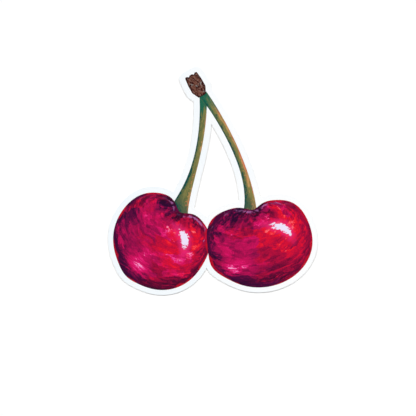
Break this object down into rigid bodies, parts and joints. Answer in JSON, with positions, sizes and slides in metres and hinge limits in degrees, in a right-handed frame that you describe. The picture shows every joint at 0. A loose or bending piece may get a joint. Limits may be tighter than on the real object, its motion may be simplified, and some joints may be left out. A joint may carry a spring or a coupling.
{
  "type": "die-cut sticker",
  "caption": "Flat die-cut vinyl sticker on its paper liner, cut to the outline of a pair of cherries with an open gap between the stems, for sticking on a smooth surface.",
  "frame": {"origin": "middle of the cut outline's box, on the back of the release liner", "axes": "+Z out of the printed face, +Y towards the top of the figure, +X to the right of the figure"},
  "size_m": [0.0698, 0.0764, 0.0003],
  "materials": {
    "liner_paper": "smooth release-coated white paper",
    "adhesive": "clear tacky film",
    "white_vinyl": "satin white film",
    "fruit_ink": "satin printed ink",
    "stem_ink": "satin printed ink",
    "spur_ink": "satin printed ink"
  },
  "bodies": {
    "root": {"release_liner": "liner_paper", "adhesive_layer": "adhesive", "face_film": "white_vinyl", "left_fruit_print": "fruit_ink", "right_fruit_print": "fruit_ink", "left_stem_print": "stem_ink", "right_stem_print": "stem_ink", "spur_print": "spur_ink"}
  },
  "joints": []
}
